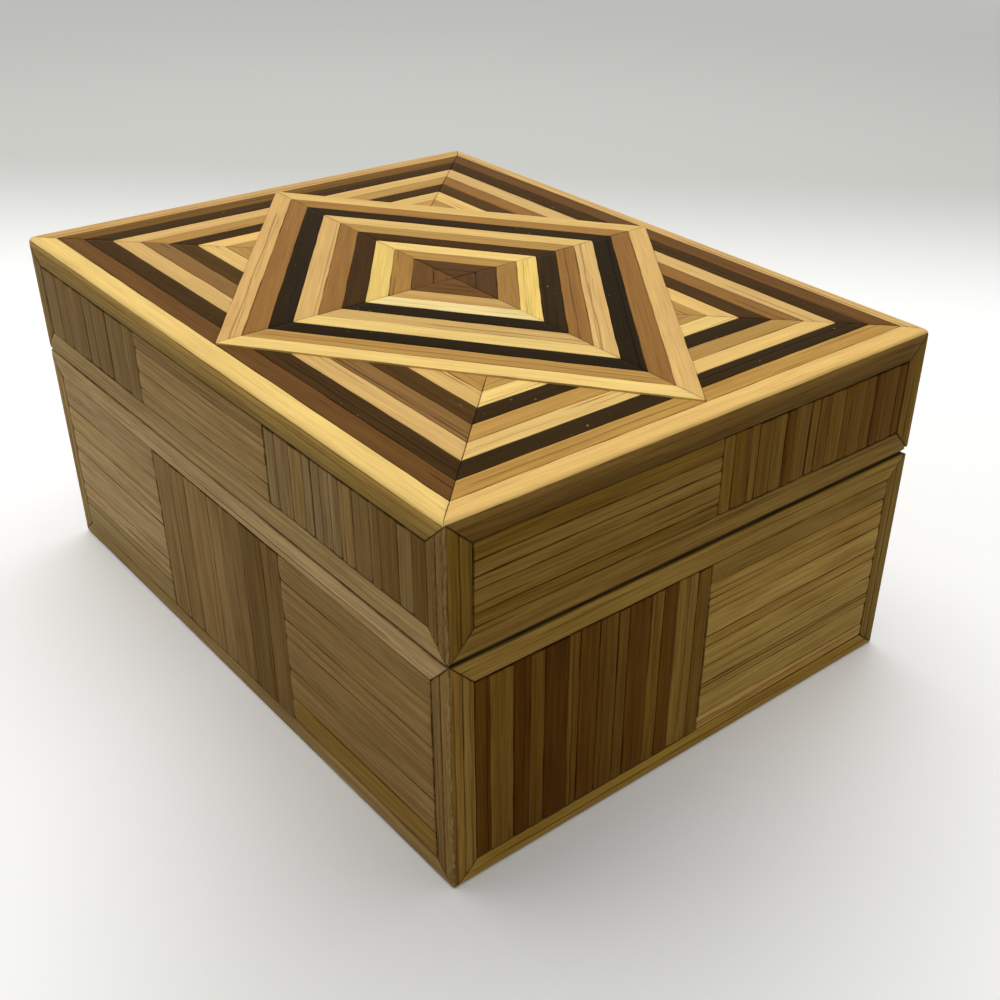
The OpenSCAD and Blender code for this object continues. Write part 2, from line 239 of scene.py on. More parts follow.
# Tones of the diamond's rings on their front right, back right, back left and front left sides. The front
# right and back left sides are mostly a step paler as painted sheen, as the strips that run that way catch
# more light
DIAMOND_TONES_AND_SHEEN = {
    "diamond_light_ring": ("butter", "wheat", "honey", "wheat"),
    "diamond_tan_ring": ("amber", "hazel", "caramel", "hazel"),
    "diamond_dark_ring": ("ink", "ink", "soot", "ink"),
    "diamond_second_light_ring": ("butter", "wheat", "honey", "wheat"),
    "diamond_second_tan_ring": ("wheat", "hazel", "amber", "hazel"),
    "diamond_second_dark_ring": ("ink", "soot", "coffee", "coffee"),
    "diamond_yellow_ring": ("cream", "lemon", "butter", "lemon"),
    "diamond_inner_tan_ring": ("sand", "caramel", "amber", "caramel"),
    "diamond_centre": ("chestnut", "walnut", "walnut", "chestnut"),
}

# Tones of the straws of a side block, in turn from the left or from the front, or upwards. Some are picked
# for painted light: the front's base blocks paler towards the left, where more light falls, and the end's
# back block paler at the bottom, as painted light bounced off the floor
FRONT_BLOCK_TONES_AND_PAINTED_LIGHT = {
    "base_left": ("flax", "barley", "barley", "barley", "husk", "barley"),
    "base_middle": ("drab", "drab", "drab", "drab", "tobacco", "clay", "fawn"),
    "base_right": ("olive", "drab", "drab", "drab", "drab", "drab"),
    "lid_left": ("tobacco",),
    "lid_middle": ("stubble", "flax", "stubble", "drab"),
    "lid_right": ("ash", "ash", "drab", "ash", "ash", "ash", "drab", "tobacco", "tobacco", "clay",
                  "tobacco", "clay"),
}
END_BLOCK_TONES_AND_PAINTED_LIGHT = {
    "base_front": ("bark", "umber", "peat", "russet", "peat", "russet", "bark", "russet", "russet", "bark",
                   "umber", "bark", "olive", "umber"),
    "base_back": ("sand", "hay", "gold", "hay", "hay", "gold", "hay", "gold", "gold", "olive"),
    "lid_front": ("moss", "olive", "olive", "olive", "moss"),
    "lid_back": ("moss", "russet", "moss", "russet", "moss", "bark", "umber", "umber", "russet", "umber",
                 "russet", "russet", "russet", "bark", "russet", "bark"),
}

# Tones of the borders round the blocks, with the foot borders paler as painted light bounced off the floor.
# The posts at the left or front end have the first, the others the second
FRONT_BORDER_TONES_AND_PAINTED_LIGHT = {"head": "gold", "upper_rim": "husk", "lower_rim": "barley", "foot": "flax"}
END_BORDER_TONES_AND_PAINTED_LIGHT = {"head": "clay", "upper_rim": "fern", "lower_rim": "reed", "foot": "chaff"}
FRONT_POST_TONES = {"base": ("flax", "fawn"), "lid": ("drab", "clay")}
END_POST_TONES = {"base": ("fern", "olive"), "lid": ("moss", "moss")}


# The straws as the CAD model has them

def solids_of(node):
    """The corners of each separate solid of a CAD node, in a steady order."""
    mesh = bmesh.new()
    mesh.from_mesh(frame["nodes"][node].data)
    bmesh.ops.remove_doubles(mesh, verts=mesh.verts, dist=WELD)
    mesh.verts.index_update()
    met = set()
    found = []
    for start in mesh.verts:
        if start.index in met:
            continue
        met.add(start.index)
        group = []
        ahead = [start]
        while ahead:
            corner = ahead.pop()
            group.append(tuple(corner.co))
            for edge in corner.link_edges:
                other = edge.other_vert(corner)
                if other.index not in met:
                    met.add(other.index)
                    ahead.append(other)
        found.append(np.array(group))
    mesh.free()
    return sorted(found, key=lambda solid: tuple(solid.mean(0).round(4)))


def turned(vector):
    """A flat vector, turned a quarter to the left."""
    return np.array((-vector[1], vector[0]))


def chain(path):
    """The part of a sorted path that only turns left."""
    kept = []
    for corner in path:
        while len(kept) > 1 and (corner - kept[-1]) @ turned(kept[-1] - kept[-2]) <= WELD * MM:
            kept.pop()
        kept.append(corner)
    return kept[:-1]


def outline(points):
    """The convex outline of flat points, anticlockwise, without crowded corners."""
    ordered = sorted(points, key=tuple)
    hull = chain(ordered) + chain(ordered[::-1])
    return [corner for i, corner in enumerate(hull) if np.linalg.norm(corner - hull[i - 1]) > CROWDED]


class Straw:
    """One flattened straw: its place, its outline along and across itself, and its luck."""

    def __init__(self, node, number, solid):
        self.node = node
        self.number = number
        self.luck = random.Random(f"{node} {number}")
        self.centre = (solid.min(0) + solid.max(0)) / 2
        size = solid.max(0) - solid.min(0)
        axis = int(np.argmin(size))
        self.thick = size[axis]
        self.out = np.zeros(3)
        self.out[axis] = 1 if axis == 2 or self.centre[axis] > 0 else -1
        right = np.array((1.0, 0.0, 0.0)) if axis == 2 else np.cross(UP, self.out)
        up = np.cross(self.out, right)
        flat = np.stack([solid @ right, solid @ up], 1)
        height = solid @ self.out - (solid @ self.out).min()
        foot = outline(flat[height < 2 * WELD])
        crest = flat[height > self.thick - 2 * WELD]
        self.lay(foot, crest, right, up, (solid @ self.out).min())

    def lay(self, foot, crest, right, up, level):
        """Finds the edge that the straw runs along, and what lies along and across it."""
        edges = []
        for a, b in zip(foot, foot[1:] + foot[:1]):
            along = (b - a) / np.linalg.norm(b - a)
            lean = ((crest - a) @ turned(along)).min()
            edges.append((a, b, along, lean))
        sloped = [edge for edge in edges if edge[3] > SLOPED]
        near = max(sloped, key=lambda edge: np.linalg.norm(edge[1] - edge[0]))
        far = min(edges, key=lambda edge: edge[2] @ near[2])
        start, _, along, self.near_lean = near
        self.far_lean = max(far[3], 0) if far[2] @ along < OPPOSITE else 0
        self.corners = [((p - start) @ along, (p - start) @ turned(along)) for p in foot]
        self.along = right * along[0] + up * along[1]
        self.across = np.cross(self.out, self.along)
        self.start = right * start[0] + up * start[1] + self.out * level
        self.width = max(v for _, v in self.corners)
        while np.ptp(self.span(self.width)) < TIP:
            self.width -= 0.1 * TIP
        self.length = max(u for u, _ in self.corners) - min(u for u, _ in self.corners)

    def span(self, v):
        """Where a line along the straw, v from its first edge, enters and leaves the outline."""
        crossings = []
        for (u0, v0), (u1, v1) in zip(self.corners, self.corners[1:] + self.corners[:1]):
            if abs(v1 - v0) > HAIR and min(v0, v1) <= v + HAIR and v - HAIR <= max(v0, v1):
                crossings.append(u0 + (u1 - u0) * (v - v0) / (v1 - v0))
        return min(crossings), max(crossings)

    def place(self, u, v, n):
        """The point in the frame that is u along, v across and n above the wood."""
        on_wood = self.start + np.multiply.outer(u, self.along) + np.multiply.outer(v, self.across)
        return on_wood + np.multiply.outer(n, self.out)


def border_part(straw):
    """The part of a side's border that a straw is, or None for any other straw."""
    if not straw.node.endswith("border_straws"):
        return None
    if abs(straw.along[2]) > UPRIGHT:
        return "post"
    if straw.node.startswith("base"):
        return "foot" if straw.centre[2] < SEAM_Z / 2 else "lower_rim"
    return "upper_rim" if straw.centre[2] < SEAM_Z + RIM_REACH else "head"


# The strips that are laid over the straws

def eased(points):
    """Points brought in to the soft round of the box's upright edges and the lid's upper edge, and
    kept out of the notch that lets the lid turn at the back."""
    centre = np.array((cad_high.x, cad_high.y, TOP_Z)) - BOX_ROLL
    side = np.sign(points * (1, 1, 0)) + (0, 0, 1)
    beyond = np.maximum(points * side - centre, 0)
    reach = np.linalg.norm(beyond, axis=1)
    outside = (reach > BOX_ROLL) & ((beyond > 0).sum(1) > 1)
    share = np.where(outside, BOX_ROLL / np.maximum(reach, BOX_ROLL), 1)
    points = points + side * beyond * (share[:, None] - 1)
    above = points[:, 2] - SEAM_Z
    notch = NOTCH_HALF - NOTCH_SLOPE * (cad_high.y - points[:, 1])
    points[:, 2] += np.sign(above) * np.maximum(notch - np.abs(above), 0)
    return points


def wander(luck, length, amount):
    """A smooth line between 0 and amount that strays at random along a straw."""
    knots = [luck.random() * amount for _ in range(int(length / WAVE_PITCH) + 3)]

    def at(u):
        """The height of the line at each u from the straw's first end."""
        step = np.clip(u / WAVE_PITCH, 0, len(knots) - 1.001)  # just before the last knot
        before = np.floor(step).astype(int)
        share = (1 - np.cos(math.pi * (step - before))) / 2
        line = np.array(knots)
        return line[before] * (1 - share) + line[before + 1] * share
    return at


def edge_kind(straw, v, craft):
    """How far an edge is rounded, and its wear and painted highlight: above 0 paler, rubbed by hands, and
    on the posts and the upper edges by the lid's top a painted highlight; below 0 darker.
    """
    u = sum(straw.span(v)) / 2
    x, y, z = straw.place(u, v, 0)
    on_end = abs(x) > cad_high.x - BY_FACE
    on_face = abs(y) > cad_high.y - BY_FACE
    if straw.out[2] == 1:
        if on_end or on_face:
            return ARRIS_ROLL, WEAR_AND_HIGHLIGHT["end_arris" if on_end else "long_arris"]
        return craft["roll"], 0
    if abs(z - SEAM_Z) < BY_SEAM:
        return SEAM_ROLL, WEAR_AND_HIGHLIGHT["long_seam" if straw.out[1] else "end_seam"]
    if straw.out[1] and on_end:
        return CORNER_ROLL, WEAR_AND_HIGHLIGHT["corner"]
    if z < BY_FLOOR:
        return SEAM_ROLL, WEAR_AND_HIGHLIGHT["foot"]
    # the posts' edges get a painted highlight
    if straw.out[1] and border_part(straw) == "post":
        return POST_ROLL, WEAR_AND_HIGHLIGHT["post"]
    # the upper edges by the lid's top get a painted highlight
    return craft["roll"], WEAR_AND_HIGHLIGHT["head"] if z > cad_high.z - BY_TOP else 0


def shut(lean):
    """How far an edge slopes once the straws lie close. The bevel behind the hinges keeps its slope."""
    return lean if lean > HINGE_LEAN else max(0, lean - BEVEL_LEAN)


def cross_rows(straw, near_roll, far_roll):
    """The rows of points across a straw: how far across, how much lower, and 0 on the foot."""
    room = straw.width - straw.near_lean - straw.far_lean
    near_roll = min(near_roll, room / 3)
    far_roll = min(far_roll, room / 3)
    near_lean, far_lean = shut(straw.near_lean), shut(straw.far_lean)

    def drop(step, roll):
        """How much lower a roll lies at a share of its way in from the edge."""
        return min(roll, straw.thick - FOOT_SKIN) * (1 - math.sqrt(1 - (1 - step) ** 2))
    near = [(near_lean + step * near_roll, drop(step, near_roll)) for step in ROLL_STEPS]
    far = [(straw.width - far_lean - step * far_roll, drop(step, far_roll)) for step in ROLL_STEPS]
    low, high = near[-1][0], far[-1][0]
    middle = [(low + (high - low) * i / (MIDDLE_ROWS + 1), 0) for i in range(1, MIDDLE_ROWS + 1)]
    rows = [(v, lower, 1) for v, lower in near + middle + far[::-1]]
    return np.array([(0, 0, 0)] + rows + [(straw.width, 0, 0)])


def row_of_points(first, last, segments):
    """The places along one row from end to end, how much lower each lies, and which aren't on the foot."""
    roll = min(END_ROLL, (last - first) / 5)
    steps = [(0, None)] + list(END_STEPS)
    ends = [(first + roll * share, part) for share, part in steps]
    ends_back = [(last - roll * share, part) for share, part in reversed(steps)]
    inner = np.linspace(first + roll, last - roll, segments + 1)[1:-1]
    stations = ends + [(u, 0) for u in inner] + ends_back
    u = np.array([station[0] for station in stations])
    end_drop = np.array([(station[1] or 0) * END_ROLL for station in stations])
    inside = np.array([station[1] is not None for station in stations])
    return u, end_drop, inside


def strip_faces(across, count):
    """The faces of a closed strip: those of a grid, across rows of count points, and the foot."""
    faces = []
    for i in range(across - 1):
        for j in range(count - 1):
            a = i * count + j
            faces.append((a, a + 1, a + count + 1, a + count))
    low_side = list(range(count))
    right_side = [i * count + count - 1 for i in range(1, across)]
    high_side = [(across - 1) * count + j for j in range(count - 2, -1, -1)]
    left_side = [i * count for i in range(across - 2, 0, -1)]
    faces.append(tuple(reversed(low_side + right_side + high_side + left_side)))
    return faces


def straw_mesh(straw, tone, craft):
    """A closed, crowned strip over a straw's outline, with what its finish needs to know."""
    luck = straw.luck
    near_roll, near_wear_and_highlight = edge_kind(straw, 0, craft)
    far_roll, far_wear_and_highlight = edge_kind(straw, straw.width, craft)
    rows = cross_rows(straw, near_roll, far_roll)
    near_plump = 0 if near_wear_and_highlight else craft["plump"]
    far_plump = 0 if far_wear_and_highlight else craft["plump"]
    half = straw.width / 2
    segments = max(2, round(straw.length / STATION))
    lowest = min(u for u, _ in straw.corners)
    near_wave = wander(luck, straw.length, craft["stray"])
    far_wave = wander(luck, straw.length, craft["stray"])
    top_wave = wander(luck, straw.length, craft["ripple"])
    sink = luck.random() * craft["sink"]
    tilt = luck.uniform(-1, 1) * craft["tilt"]
    cut = [luck.random() * craft["ragged"] - craft["tight"] for _ in range(2)]

    grid = []
    for v, lower, raised in rows:
        beside = v / half - 1
        first, last = straw.span(v)
        scallop = craft["scallop"] * beside ** 4
        room = max(0, (last - first) / 2 - TIP / 2)
        first += min(cut[0] + scallop, room)
        last -= min(cut[1] + scallop, room)
        u, end_drop, inside = row_of_points(first, last, segments)
        at = u - lowest
        shift = (near_wave(at) - near_plump) * max(0, -beside) + (far_plump - far_wave(at)) * max(0, beside)
        crown = craft["crown"] * beside ** 2 + tilt * beside + abs(tilt)
        level = straw.thick - sink - crown - top_wave(at) - lower - end_drop
        level = np.maximum(level, FOOT_SKIN) * raised * inside
        edge = np.full(len(u), min(v, straw.width - v))
        end = np.minimum(u - first, last - u)
        grid.append(np.stack([u, v + shift, level, edge, end], 1))
    grid = np.array(grid)
    u, v, level, edge, end = (grid[:, :, part].ravel() for part in range(5))
    points = eased(straw.place(u, v, level))
    wear_and_highlight = near_wear_and_highlight * np.exp(-v / WEAR_AND_HIGHLIGHT_REACH) + far_wear_and_highlight * np.exp(-(straw.width - v) / WEAR_AND_HIGHLIGHT_REACH)
    tint = own_tint(luck, TONES[tone], craft["spread"])
    seed = luck.random() * SEEDS
    marks = {
        "grain_place": np.stack([u / MM, v / MM, np.full(len(v), seed)], 1),
        "edge_place": np.stack([edge / MM, end / MM, wear_and_highlight], 1),
        "split_place": np.tile(split_lines(luck, straw.width / MM, craft["splits"]), (len(v), 1)),
        # the tint carries the head strips' painted highlight and painted shade
        "tint": np.outer(head_highlight_and_shade(straw, v), tint),
    }
    return points, strip_faces(grid.shape[0], grid.shape[1]), marks


def head_highlight_and_shade(straw, v):
    """How pale a straw is at v across it. A head strip is painted paler towards its top, as a painted
    highlight on the lid's rounded upper edge, and darker at its foot, as painted shade.
    """
    if not straw.node.startswith("lid") or border_part(straw) != "head":
        return np.ones(len(v))
    height = np.clip(v / straw.width if straw.across[2] > 0 else 1 - v / straw.width, 0, 1)
    return HEAD_SHADED_FOOT + HEAD_HIGHLIGHT_GAIN * height ** HEAD_HIGHLIGHT_RISE


def split_lines(luck, width, chance):
    """Where a wide and a fine split lie across a straw, in millimetres, and how dark they are."""
    places = [width * luck.uniform(*SPLIT_PLACES) if luck.random() < chance else NOWHERE for _ in range(2)]
    return np.array(places + [luck.uniform(*SPLIT_DARKNESS)])


def own_tint(luck, colour, spread):
    """A tone as one straw has it: a little lighter or darker, warmer or cooler."""
    light = math.exp(luck.gauss(0, spread))
    warm = luck.gauss(0, spread * WARMTH)
    return np.array([colour[0] * light * (1 + warm), colour[1] * light, colour[2] * light * (1 - warm), 1])


# Which tone and which craft each straw gets

def field_side(centre):
    """0 front, 1 right, 2 back, 3 left: the side of the lid's rings that a straw belongs to."""
    from_end = FIELD_HIGH.x - abs(centre[0])
    from_face = FIELD_HIGH.y - FIELD_MIDDLE_Y - abs(centre[1] - FIELD_MIDDLE_Y)
    if from_face < from_end:
        return 0 if centre[1] < FIELD_MIDDLE_Y else 2
    return 1 if centre[0] > 0 else 3


def diamond_side(centre):
    """0 front right, 1 back right, 2 back left, 3 front left: the side of the diamond's rings."""
    if centre[0] > 0:
        return 0 if centre[1] < DIAMOND_MIDDLE_Y else 1
    return 3 if centre[1] < DIAMOND_MIDDLE_Y else 2


def straw_tone(straw):
    """The tone's name for one straw."""
    if straw.node in FIELD_TONES_AND_SHEEN:
        return FIELD_TONES_AND_SHEEN[straw.node][field_side(straw.centre)]
    if straw.node in DIAMOND_TONES_AND_SHEEN:
        return DIAMOND_TONES_AND_SHEEN[straw.node][diamond_side(straw.centre)]
    on_end = straw.out[0] != 0
    if border_part(straw) == "post":
        first, second = (END_POST_TONES if on_end else FRONT_POST_TONES)[straw.node.split("_")[0]]
        return second if straw.centre[1 if on_end else 0] > 0 else first
    if straw.node.endswith("border_straws"):
        return (END_BORDER_TONES_AND_PAINTED_LIGHT if on_end else FRONT_BORDER_TONES_AND_PAINTED_LIGHT)[border_part(straw)]
    body, _, place, _ = straw.node.split("_")
    tones = END_BLOCK_TONES_AND_PAINTED_LIGHT if on_end else FRONT_BLOCK_TONES_AND_PAINTED_LIGHT
    in_turn = tones[body + "_" + place]
    return in_turn[straw.number % len(in_turn)]


# How evenly the straws are laid: lengths for the long sides (stray, plump), the upper face (ripple, sink,
# tilt, crown), the ends (ragged, tight, scallop) and the rounding of the edges (roll), then the chance of
# each split, and how much the tone of one straw differs from the next (spread)
TOP_CRAFT = {
    "stray": 0.18 * MM, "ripple": 0.02 * MM, "sink": 0.05 * MM, "tilt": 0.02 * MM, "ragged": 0.06 * MM,
    "tight": 0.04 * MM, "scallop": 0.02 * MM, "crown": 0.06 * MM, "roll": 0.10 * MM, "plump": 0.10 * MM,
    "splits": 0.35, "spread": 0.04,
}
BORDER_CRAFT = {
    "stray": 0.15 * MM, "ripple": 0.03 * MM, "sink": 0.05 * MM, "tilt": 0.03 * MM, "ragged": 0.06 * MM,
    "tight": 0, "scallop": 0.05 * MM, "crown": 0.10 * MM, "roll": 0.18 * MM, "plump": 0.06 * MM,
    "splits": 0.5, "spread": 0.07,
}
BLOCK_CRAFT = {
    "stray": 0.20 * MM, "ripple": 0.04 * MM, "sink": 0.10 * MM, "tilt": 0.05 * MM, "ragged": 0.30 * MM,
    "tight": 0, "scallop": 0.22 * MM, "crown": 0.16 * MM, "roll": 0.20 * MM, "plump": 0.09 * MM,
    "splits": 0.3, "spread": 0.05,
}


def craft_of(node):
    """How evenly the straws of a node are laid."""
    if node.endswith("block"):
        return BLOCK_CRAFT
    if node.endswith("border_straws"):
        return BORDER_CRAFT
    return TOP_CRAFT


# Materials

class Wire:
    """A value inside a finish. Arithmetic on it adds Math nodes."""

    def __init__(self, finish, socket):
        self.finish = finish
        self.socket = socket

    def math(self, operation, *values):
        """One Math node on the given values."""
        return self.finish.node("Math", {"operation": operation}, dict(enumerate(values)))

    def __add__(self, other):
        return self.math("ADD", self, other)

    def __radd__(self, other):
        return self.math("ADD", other, self)

    def __sub__(self, other):
        return self.math("SUBTRACT", self, other)

    def __rsub__(self, other):
        return self.math("SUBTRACT", other, self)

    def __mul__(self, other):
        return self.math("MULTIPLY", self, other)

    def __rmul__(self, other):
        return self.math("MULTIPLY", other, self)

    def __abs__(self):
        return self.math("ABSOLUTE", self)


class Finish:
    """A material, or the world's light, as it is put together, node by node."""

    def __init__(self, holder):
        self.holder = holder
        holder.use_nodes = True
        self.tree = holder.node_tree
        self.tree.nodes.clear()

    def node(self, kind, settings=None, sockets=None, output=0):
        """Adds a node, sets it, fills or links its sockets, and gives one of its outputs."""
        made = self.tree.nodes.new("ShaderNode" + kind)
        for name, value in (settings or {}).items():
            setattr(made, name, value)
        for key, value in (sockets or {}).items():
            if isinstance(value, Wire):
                self.tree.links.new(value.socket, made.inputs[key])
            else:
                made.inputs[key].default_value = value
        return Wire(self, made.outputs[output]) if len(made.outputs) else None

    def mark(self, name):
        """The three parts of a vector that the mesh carries."""
        return self.parts(self.node("Attribute", {"attribute_name": name}, output="Vector"))

    def parts(self, vector):
        """The three parts of a vector, each as a value."""
        first = self.node("SeparateXYZ", sockets={0: vector})
        return [Wire(self, socket) for socket in first.socket.node.outputs]

    def noise(self, x, y, z, detail=2):
        """A smooth random value near 0.5 for each place."""
        place = self.node("CombineXYZ", sockets={0: x, 1: y, 2: z})
        return self.node("TexNoise", sockets={"Vector": place, "Scale": 1, "Detail": detail,
                                              "Roughness": 0.5})

    def fade(self, value, start, end):
        """0 where value is at start, 1 where it is at end, and smooth between."""
        return self.node("MapRange", {"interpolation_type": "SMOOTHSTEP"},
                         {"Value": value, "From Min": start, "From Max": end})

    def blend(self, share, first, second):
        """The first colour where share is 0 and the second where it is 1."""
        return self.node("Mix", {"data_type": "RGBA"}, {0: share, 6: first, 7: second}, output=2)

    def lit(self, colour, strength):
        """A colour made lighter or darker."""
        return self.node("VectorMath", {"operation": "SCALE"}, {0: colour, "Scale": strength})

    def times(self, colour, factors):
        """A colour with its red, green and blue each made stronger or weaker."""
        return self.node("VectorMath", {"operation": "MULTIPLY"}, {0: colour, 1: factors})

    def length(self, x, y):
        """How far x and y lie from 0 together."""
        return self.node("Math", {"operation": "SQRT"}, {0: x * x + y * y})

    def larger(self, first, second):
        """The larger of two values."""
        return self.node("Math", {"operation": "MAXIMUM"}, {0: first, 1: second})

    def surface(self, colour, roughness, height, depth, others):
        """Closes the material: a principled shader with a bump of the given depth in metres."""
        normal = self.node("Bump", sockets={"Height": height, "Strength": 1, "Distance": depth})
        sockets = {"Base Color": colour, "Roughness": roughness, "Normal": normal}
        shader = self.node("BsdfPrincipled", sockets={**sockets, **others})
        self.node("OutputMaterial", sockets={"Surface": shader})
        return self.holder

    def seen(self):
        """1 for what the camera sees, also in metal or through glass, and 0 for the light on the box."""
        rays = ("Is Camera Ray", "Is Glossy Ray", "Is Transmission Ray")
        camera, glossy, transmission = [self.node("LightPath", output=ray) for ray in rays]
        return self.larger(self.larger(camera, glossy), transmission)


# What the grain's darkest and palest lines make of a straw's tone, in red, green and blue
DEEP = (0.62, 0.53, 0.42)
PALE = (1.36, 1.44, 1.50)

# Dark old glue and dirt, also used as painted shade between the straws and in the gaps; pale rubbed straw,
# also used as a painted highlight; and the hinges' metal
DIRT_AND_SHADE = srgb(46, 30, 12)
SCUFF_AND_HIGHLIGHT = srgb(222, 192, 132)
BRASS_TONE = srgb(214, 178, 104)
TARNISH = srgb(150, 112, 58)

# How far below the outside of the wood the dark glue begins to show, and where it covers the wood. It also
# paints shade on the bare wood that shows in the gaps between the straws and at the seam
GLUE_AND_SHADE_BEGINS = -1.4 * MM
GLUE_AND_SHADE_FULL = -0.3 * MM

# How deep the relief of each finish is
STRAW_RELIEF = 0.06 * MM
WOOD_RELIEF = 0.04 * MM
BRASS_RELIEF = 0.012 * MM
PAPER_RELIEF = 0.01 * MM


def straw_finish(name, contrast, glue_darkness_and_shade, reach, dull, shine, specked=0.0):
    """Satin straw: long streaks and fibres, dark glue lines at the edges that are partly painted shade,
    splits, and rubbed arrises that in places are a painted highlight. The mesh gives places in millimetres.
    The glue lines and their painted shade are as dark, and reach as far in, as the two arguments after
    contrast say."""
    finish = Finish(bpy.data.materials.new(name))
    along, across, seed = finish.mark("grain_place")
    edge, end, wear_and_highlight = finish.mark("edge_place")
    wide_split, fine_split, depth = finish.mark("split_place")
    tint = finish.node("Attribute", {"attribute_name": "tint"}, output="Color")

    # Grain, from broad bands to fine fibres
    wobble = finish.noise(along * 0.05, 0.0, seed + 19)
    lane = across + wobble * 0.8
    band = finish.noise(along * 0.025, lane * 0.5, seed + 7)
    streak = finish.noise(along * 0.045, lane * 1.9, seed, detail=3)
    fibre = finish.noise(along * 0.14, lane * 7.0, seed + 3)
    tone = (band - 0.5) * 1.1 + (streak - 0.5) * 1.4 + (fibre - 0.5) * 0.6
    vein = finish.fade(finish.noise(along * 0.05, lane * 3.2, seed + 11), 0.58, 0.70)
    deep = finish.times(tint, DEEP)
    colour = finish.blend(0.5 + tone * contrast, deep, finish.times(tint, PALE))
    colour = finish.blend(vein * (0.25 + contrast * 0.5), colour, deep)

    # One wide and one fine split, both broken off at places
    broken = finish.fade(finish.noise(along * 0.03, across * 0.3, seed + 23, detail=1), 0.38, 0.50)
    wide = finish.fade(abs(across - wide_split + (wobble - 0.5) * 1.1), 0.36, 0.10)
    fine = finish.fade(abs(across - fine_split - (wobble - 0.5) * 0.7), 0.20, 0.05)
    split = finish.larger(wide, fine * 0.8) * broken * depth
    colour = finish.blend(split * 0.9, colour, finish.times(deep, DEEP))

    # Glue lines at the edges and the ends, stronger at places and partly painted shade between the straws,
    # and darker edges where the wear is below 0
    grime = finish.noise(along * 0.18, across * 0.9, seed + 31, detail=3)
    strong = finish.fade(finish.noise(along * 0.03, across * 0.2, seed + 37, detail=1), 0.36, 0.62)
    edge_glue_and_shade = finish.fade(edge + (grime - 0.5) * 0.25, reach, 0.0) * (0.15 + strong * 0.85)
    end_glue_and_shade = finish.fade(end + (grime - 0.5) * 0.3, reach + 0.05, 0.04) * (0.45 + strong * 0.75)
    darker_edge = finish.larger(wear_and_highlight * -0.95, 0) * finish.fade(edge, 0.8, 0.25)
    # dark lines: glue, painted shade between the straws, and the darker edges
    dark = finish.larger(finish.larger(edge_glue_and_shade, end_glue_and_shade) * glue_darkness_and_shade, darker_edge)
    colour = finish.blend(dark, colour, DIRT_AND_SHADE)

    # Edges that hands have rubbed pale, with a painted highlight on the posts and the upper edges, and pale
    # specks
    chafe = finish.fade(finish.noise(along * 0.5, across * 2.2, seed + 41, detail=4), 0.44, 0.66)
    worn_and_highlight = finish.larger(wear_and_highlight, 0) * (0.25 + chafe * 0.5)
    colour = finish.blend(worn_and_highlight * 0.4, colour, SCUFF_AND_HIGHLIGHT)
    specks = finish.fade(finish.noise(along * 0.9, across * 1.3, seed + 53, detail=0), 0.84, 0.90)
    colour = finish.blend(specks * specked, colour, SCUFF_AND_HIGHLIGHT)

    roughness = dull + (fibre - 0.5) * 0.16 + dark * 0.5 + worn_and_highlight * 0.12
    height = streak * 0.5 + fibre * 0.4 - split * 1.2 - vein * 0.5 - worn_and_highlight * 0.2
    return finish.surface(colour, roughness, height, STRAW_RELIEF, {"Specular IOR Level": shine})


def wood_finish(name, tone, along_x):
    """Sanded bare wood: growth rings cut lengthwise and pores, and dark old glue under the straws, which
    also paints shade where the wood shows in the gaps and at the seam.
    tone names the early and the late wood. Places are in metres."""
    finish = Finish(bpy.data.materials.new(name))
    x, y, z = finish.parts(finish.node("TexCoord", output="Object"))
    run, side = (x, y) if along_x else (y, x)
    figure = finish.noise(run * 4, side * 45, z * 45, detail=3)
    rings = finish.node("Math", {"operation": "PINGPONG"}, {0: figure * 16 + side * 60 + z * 60, 1: 1})
    late = finish.fade(rings, 0.45, 1.0)
    pores = finish.fade(finish.noise(run * 130, side * 2400, z * 2400), 0.62, 0.74)
    fleck = finish.noise(run * 60, side * 900, z * 900)
    light = 0.94 + fleck * 0.12 - late * 0.10
    colour = finish.lit(finish.blend(late * 0.55 + figure * 0.3, TONES[tone[0]], TONES[tone[1]]), light)
    colour = finish.blend(pores * 0.25, colour, DIRT_AND_SHADE)
    beyond_face = finish.larger(finish.larger(abs(x) - WALL_X, abs(y) - WALL_Y), z - PANEL_Z)
    # the glue also serves as painted shade in the gaps and at the seam
    wood_glue_and_shade = finish.fade(beyond_face, GLUE_AND_SHADE_BEGINS, GLUE_AND_SHADE_FULL)
    colour = finish.blend(wood_glue_and_shade * 0.9, colour, DIRT_AND_SHADE)
    roughness = 0.62 + fleck * 0.12
    height = fleck * 0.5 - late * 0.2 - pores
    return finish.surface(colour, roughness, height, WOOD_RELIEF, {"Specular IOR Level": 0.3})


def brass_finish():
    """Small drawn hinges of yellow brass: brushed along their length and tarnished in patches.
    Places are in metres."""
    finish = Finish(bpy.data.materials.new("brushed_brass"))
    x, y, z = finish.parts(finish.node("TexCoord", output="Object"))
    brush = finish.noise(x * 220, y * 9000, z * 9000)
    patch = finish.noise(x * 260, y * 260, z * 260, detail=4)
    tarnish = finish.fade(patch, 0.48, 0.66)
    colour = finish.blend(tarnish, BRASS_TONE, TARNISH)
    colour = finish.lit(colour, 0.85 + brush * 0.3)
    roughness = 0.26 + brush * 0.14 + tarnish * 0.2
    return finish.surface(colour, roughness, brush, BRASS_RELIEF, {"Metallic": 1.0})


# The straw pieces

SHARP_ANGLE = 48  # degrees between two faces whose edge stays sharp


